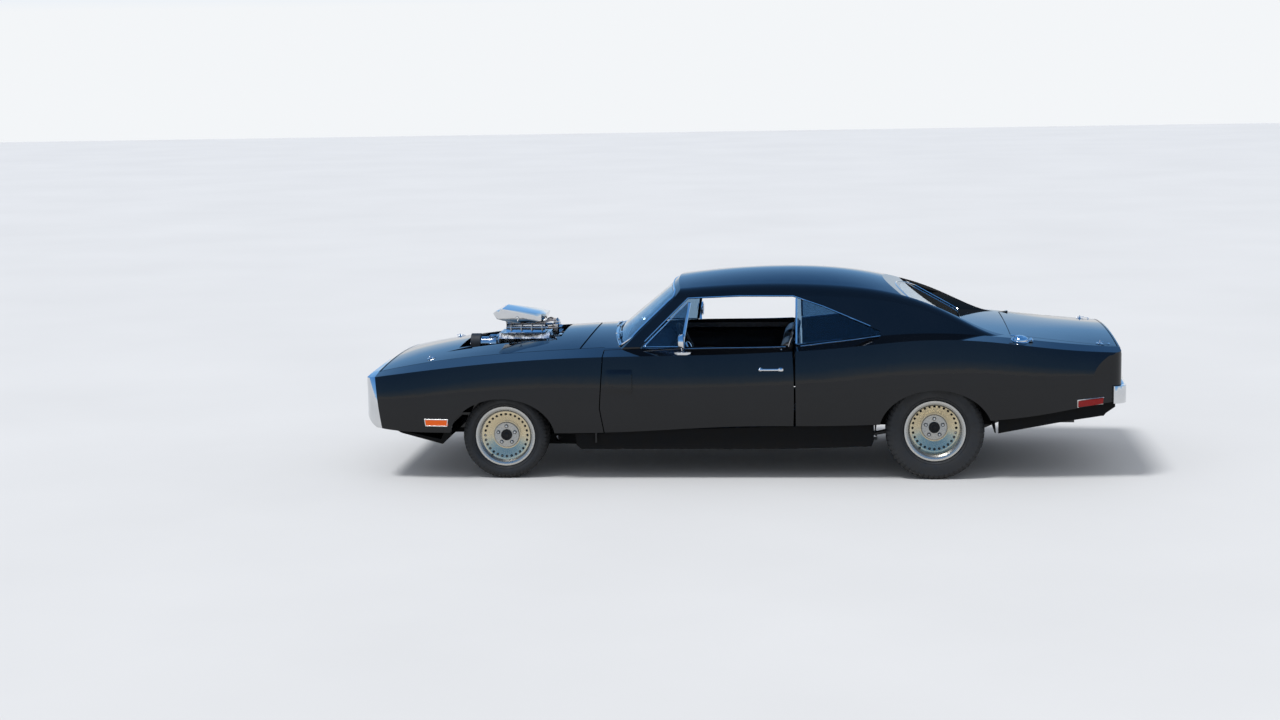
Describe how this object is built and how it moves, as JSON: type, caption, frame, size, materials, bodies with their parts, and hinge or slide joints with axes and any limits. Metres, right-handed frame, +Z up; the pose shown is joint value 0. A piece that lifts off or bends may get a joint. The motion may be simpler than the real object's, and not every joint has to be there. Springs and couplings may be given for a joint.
{
  "type": "two-door fastback hardtop car",
  "caption": "Full-size two-door fastback car with an open blown engine, sail panels, bright nose loop and opening doors, bonnet and boot.",
  "frame": {"origin": "on the road, under the middle of the car's length and width", "axes": "+X runs rearwards along the car, +Y to the car's right, +Z up"},
  "size_m": [5.2828, 2.014, 1.3844],
  "materials": {
    "paint": "gloss",
    "dark": "satin",
    "bright": "polished",
    "polished": "polished",
    "rim_metal": "machined satin",
    "glass": "clear tint",
    "dark_plastic": "matte",
    "red_lens": "clear red",
    "amber_lens": "clear amber",
    "iron": "matte",
    "steel": "satin",
    "belt_rubber": "matte",
    "trim": "matte",
    "tyre": "matte"
  },
  "bodies": {
    "body": {"quarters_roof": "paint", "bulkhead_and_cowl": "paint", "wing_left": "paint", "wing_right": "paint", "underbody": "dark", "front_apron": "dark", "rear_apron": "dark", "nose_loop": "bright", "grille": "dark_plastic", "rear_bumper": "bright", "windscreen": "glass", "rear_window": "glass", "quarter_panes": "glass", "tail_panel": "dark_plastic", "tail_lamps": "red_lens", "side_markers": "amber_lens", "engine_block": "iron", "blower": "polished", "intake_scoop": "bright", "blower_drive": "belt_rubber", "exhaust": "steel", "seats": "trim", "dashboard": "dark_plastic", "steering_wheel": "dark_plastic", "front_suspension": "iron", "rear_axle": "iron", "fuel_tank": "steel"},
    "hood": {"hood": "paint"},
    "deck_lid": {"deck_lid": "paint"},
    "door_left": {"door_left": "paint", "mirror_left": "bright", "vent_pane_left": "glass"},
    "door_right": {"door_right": "paint", "mirror_right": "bright", "vent_pane_right": "glass"},
    "knuckle_left": {"knuckle_left": "iron"},
    "knuckle_right": {"knuckle_right": "iron"},
    "wheel_front_left": {"rim_front_left": "rim_metal", "tyre_front_left": "tyre"},
    "wheel_front_right": {"rim_front_right": "rim_metal", "tyre_front_right": "tyre"},
    "wheel_rear_left": {"rim_rear_left": "rim_metal", "tyre_rear_left": "tyre"},
    "wheel_rear_right": {"rim_rear_right": "rim_metal", "tyre_rear_right": "tyre"}
  },
  "joints": [
    {"name": "steer_left", "type": "hinge", "parent": "body", "child": "knuckle_left", "pos_m": [-1.6415, -0.64, 0.296], "axis": [0, 0, 1], "range_deg": [-30, 30]},
    {"name": "steer_right", "type": "hinge", "parent": "body", "child": "knuckle_right", "pos_m": [-1.6415, 0.64, 0.296], "axis": [0, 0, 1], "range_deg": [-30, 30]},
    {"name": "spin_front_left", "type": "hinge", "parent": "knuckle_left", "child": "wheel_front_left", "pos_m": [-1.6415, -0.752, 0.296], "axis": [0, -1, 0], "continuous": true},
    {"name": "spin_front_right", "type": "hinge", "parent": "knuckle_right", "child": "wheel_front_right", "pos_m": [-1.6415, 0.752, 0.296], "axis": [0, -1, 0], "continuous": true},
    {"name": "spin_rear_left", "type": "hinge", "parent": "body", "child": "wheel_rear_left", "pos_m": [1.3305, -0.752, 0.336], "axis": [0, -1, 0], "continuous": true},
    {"name": "spin_rear_right", "type": "hinge", "parent": "body", "child": "wheel_rear_right", "pos_m": [1.3305, 0.752, 0.336], "axis": [0, -1, 0], "continuous": true},
    {"name": "door_left_hinge", "type": "hinge", "parent": "body", "child": "door_left", "pos_m": [-0.9655, -0.95, 0.6], "axis": [0, 0, -1], "range_deg": [0, 65]},
    {"name": "door_right_hinge", "type": "hinge", "parent": "body", "child": "door_right", "pos_m": [-0.9655, 0.95, 0.6], "axis": [0, 0, 1], "range_deg": [0, 65]},
    {"name": "hood_hinge", "type": "hinge", "parent": "body", "child": "hood", "pos_m": [-1.0815, 0, 0.95], "axis": [0, 1, 0], "range_deg": [0, 50]},
    {"name": "deck_lid_hinge", "type": "hinge", "parent": "body", "child": "deck_lid", "pos_m": [1.8535, 0, 0.977], "axis": [0, -1, 0], "range_deg": [0, 65]}
  ],
  "couplings": [
    {"joint": "steer_right", "follows": "steer_left", "ratio": 1}
  ]
}
